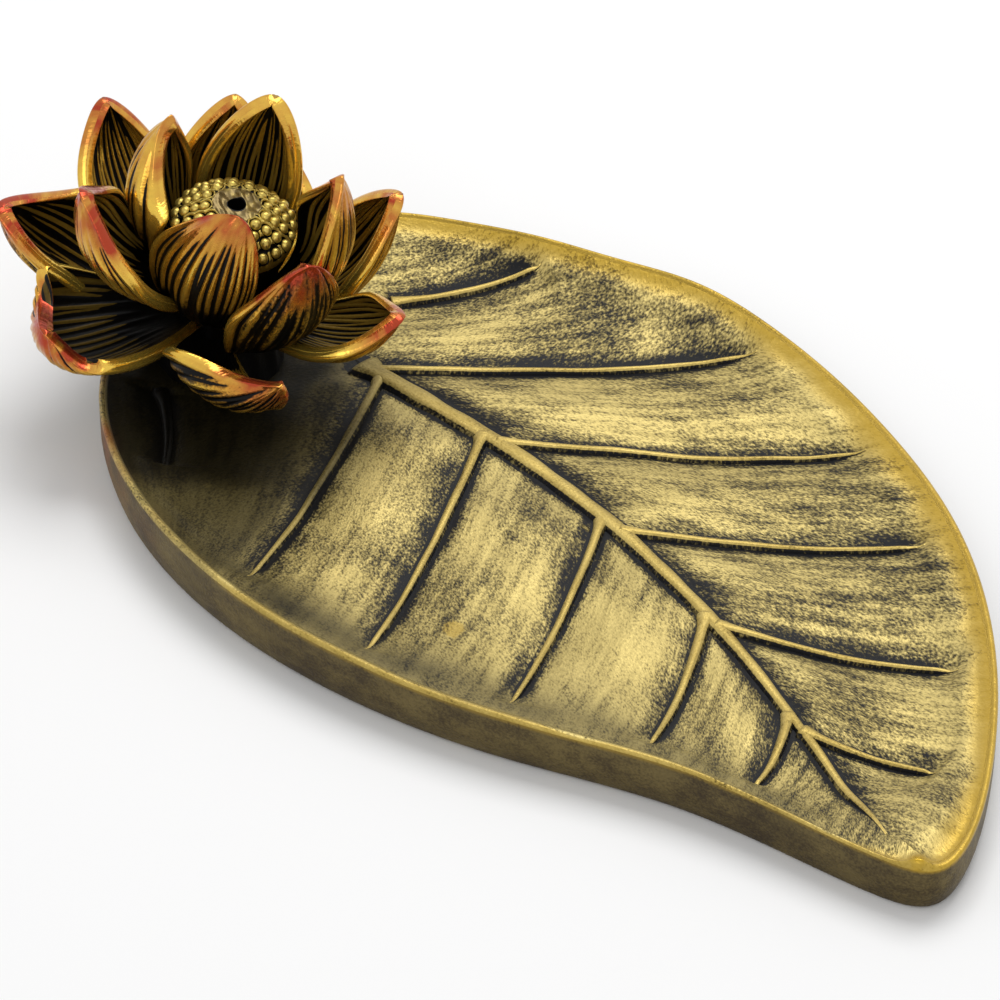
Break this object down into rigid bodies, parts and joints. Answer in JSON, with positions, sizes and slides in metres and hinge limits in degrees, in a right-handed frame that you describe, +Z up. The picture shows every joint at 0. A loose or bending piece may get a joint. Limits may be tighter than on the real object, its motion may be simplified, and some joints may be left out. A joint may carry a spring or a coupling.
{
  "type": "incense stick holder",
  "caption": "Leaf-shaped ash dish with a raised rim and veins, and a lotus flower at its stem end whose seed pod has a leaning hole for an incense stick.",
  "frame": {"origin": "on the standing surface, in the leaf dish's flat underside, below the centre of the flower's seat", "axes": "+X along the leaf from the flower to the leaf's tip, +Y across the leaf, +Z up; the stick hole leans 13 degrees from +Z towards +X"},
  "size_m": [0.1982, 0.1103, 0.0491],
  "materials": {
    "leaf_resin": "cast resin, dark wash, dry-brushed antique gold",
    "petal_resin": "cast resin, black wash in the grooves, gold ridges and copper-red tips under a satin lacquer",
    "pod_resin": "cast resin, black wash, rubbed antique gold",
    "receptacle_resin": "cast resin, black wash"
  },
  "bodies": {
    "root": {"leaf_dish": "leaf_resin", "receptacle": "receptacle_resin", "seed_pod": "pod_resin", "seeds": "pod_resin", "inner_petal_1": "petal_resin", "inner_petal_2": "petal_resin", "inner_petal_3": "petal_resin", "inner_petal_4": "petal_resin", "inner_petal_5": "petal_resin", "middle_petal_1": "petal_resin", "middle_petal_2": "petal_resin", "outer_petal_1": "petal_resin", "outer_petal_2": "petal_resin", "outer_petal_3": "petal_resin", "outer_petal_4": "petal_resin", "outer_petal_5": "petal_resin", "outer_petal_6": "petal_resin", "outer_petal_7": "petal_resin"}
  },
  "joints": []
}
